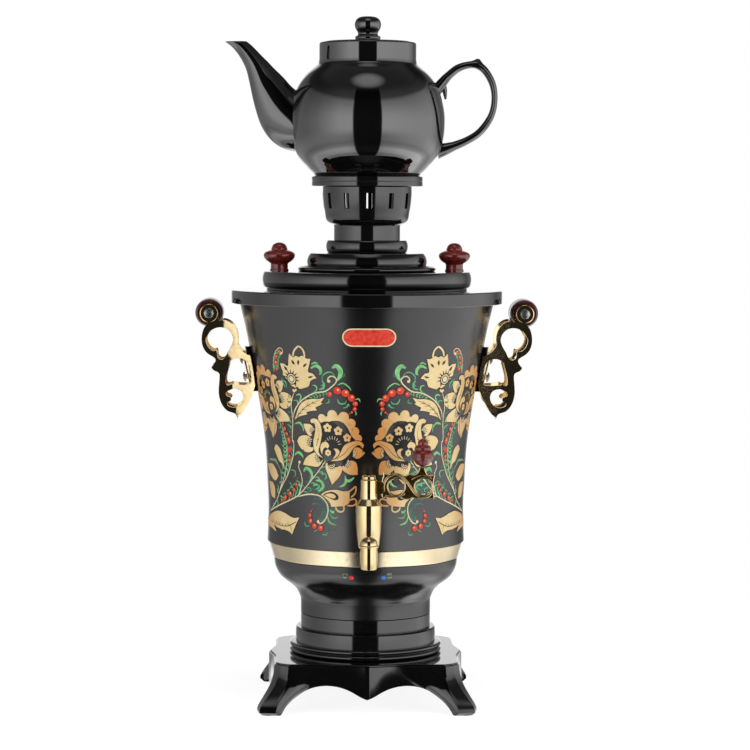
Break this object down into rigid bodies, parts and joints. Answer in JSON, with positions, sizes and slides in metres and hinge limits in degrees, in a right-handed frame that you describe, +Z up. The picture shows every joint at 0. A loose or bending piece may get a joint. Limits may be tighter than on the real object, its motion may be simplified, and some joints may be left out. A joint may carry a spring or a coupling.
{
  "type": "electric samovar",
  "caption": "Electric samovar on a flared four-legged base with a tap at the front, two side handles, a lift-off lid with a slotted crown, and a teapot standing on it.",
  "frame": {"origin": "under the middle of the whole, on the surface that the feet rest on", "axes": "+Z up, the tap at the front on -Y, the teapot's spout at -X"},
  "size_m": [0.2558, 0.2138, 0.5105],
  "materials": {
    "black_plastic": "moulded, glossy",
    "black_paint": "satin black paint",
    "black_glaze": "high gloss black glaze",
    "polished_brass": "polished, gold coloured",
    "red_wood": "turned, dark red lacquer",
    "steel": "plain",
    "rubber": "matte",
    "red_lens": "clear tinted",
    "blue_lens": "clear tinted",
    "board": "solder mask"
  },
  "bodies": {
    "vessel": {"base_casting": "black_plastic", "foot_pad_front_left": "rubber", "foot_pad_front_right": "rubber", "foot_pad_rear_left": "rubber", "foot_pad_rear_right": "rubber", "bottom_cover": "black_plastic", "base_collar": "black_plastic", "lower_housing": "black_paint", "power_inlet": "black_plastic", "switch_frame": "black_plastic", "gold_band": "polished_brass", "tank_shell": "black_paint", "heating_element": "steel", "heater_clamp": "steel", "thermostat": "steel", "indicator_lamp_red": "red_lens", "indicator_lamp_blue": "blue_lens", "indicator_board": "board", "rim_ring": "black_plastic", "tap_body": "polished_brass", "tap_gasket": "rubber", "tap_nut": "steel", "handle_pad_right": "black_plastic", "handle_bracket_right": "polished_brass", "handle_grip_right": "red_wood", "grip_bolt_right": "steel", "handle_screw_right_upper": "steel", "handle_screw_right_lower": "steel", "handle_pad_left": "black_plastic", "handle_bracket_left": "polished_brass", "handle_grip_left": "red_wood", "grip_bolt_left": "steel", "handle_screw_left_upper": "steel", "handle_screw_left_lower": "steel"},
    "lid": {"lid_cover": "black_plastic", "lid_gasket": "rubber", "lid_knob_left": "red_wood", "lid_knob_right": "red_wood", "lid_knob_screw_left": "steel", "lid_knob_screw_right": "steel", "stack_base": "black_plastic", "crown": "black_plastic", "pot_plate": "black_plastic"},
    "teapot": {"teapot_body": "black_glaze", "teapot_spout": "black_glaze", "teapot_handle": "black_glaze"},
    "teapot_lid": {"teapot_lid": "black_glaze"},
    "tap_key": {"tap_key": "polished_brass", "tap_cap": "polished_brass", "tap_key_plate": "polished_brass", "tap_finial": "red_wood"},
    "rocker": {"switch_rocker": "black_plastic"}
  },
  "joints": [
    {"name": "lid_lift", "type": "slide", "parent": "vessel", "child": "lid", "axis": [0, 0, 1], "range_m": [0, 0.06]},
    {"name": "teapot_lift", "type": "slide", "parent": "lid", "child": "teapot", "axis": [0, 0, 1], "range_m": [0, 0.06]},
    {"name": "teapot_lid_lift", "type": "slide", "parent": "teapot", "child": "teapot_lid", "axis": [0, 0, 1], "range_m": [0, 0.04]},
    {"name": "tap_turn", "type": "hinge", "parent": "vessel", "child": "tap_key", "pos_m": [0, -0.0927, 0.16], "axis": [0, 0, 1], "range_deg": [-90, 0]},
    {"name": "switch_rock", "type": "hinge", "parent": "vessel", "child": "rocker", "pos_m": [0.016, 0.0599, 0.0768], "axis": [1, 0, 0], "range_deg": [0, 16]}
  ]
}
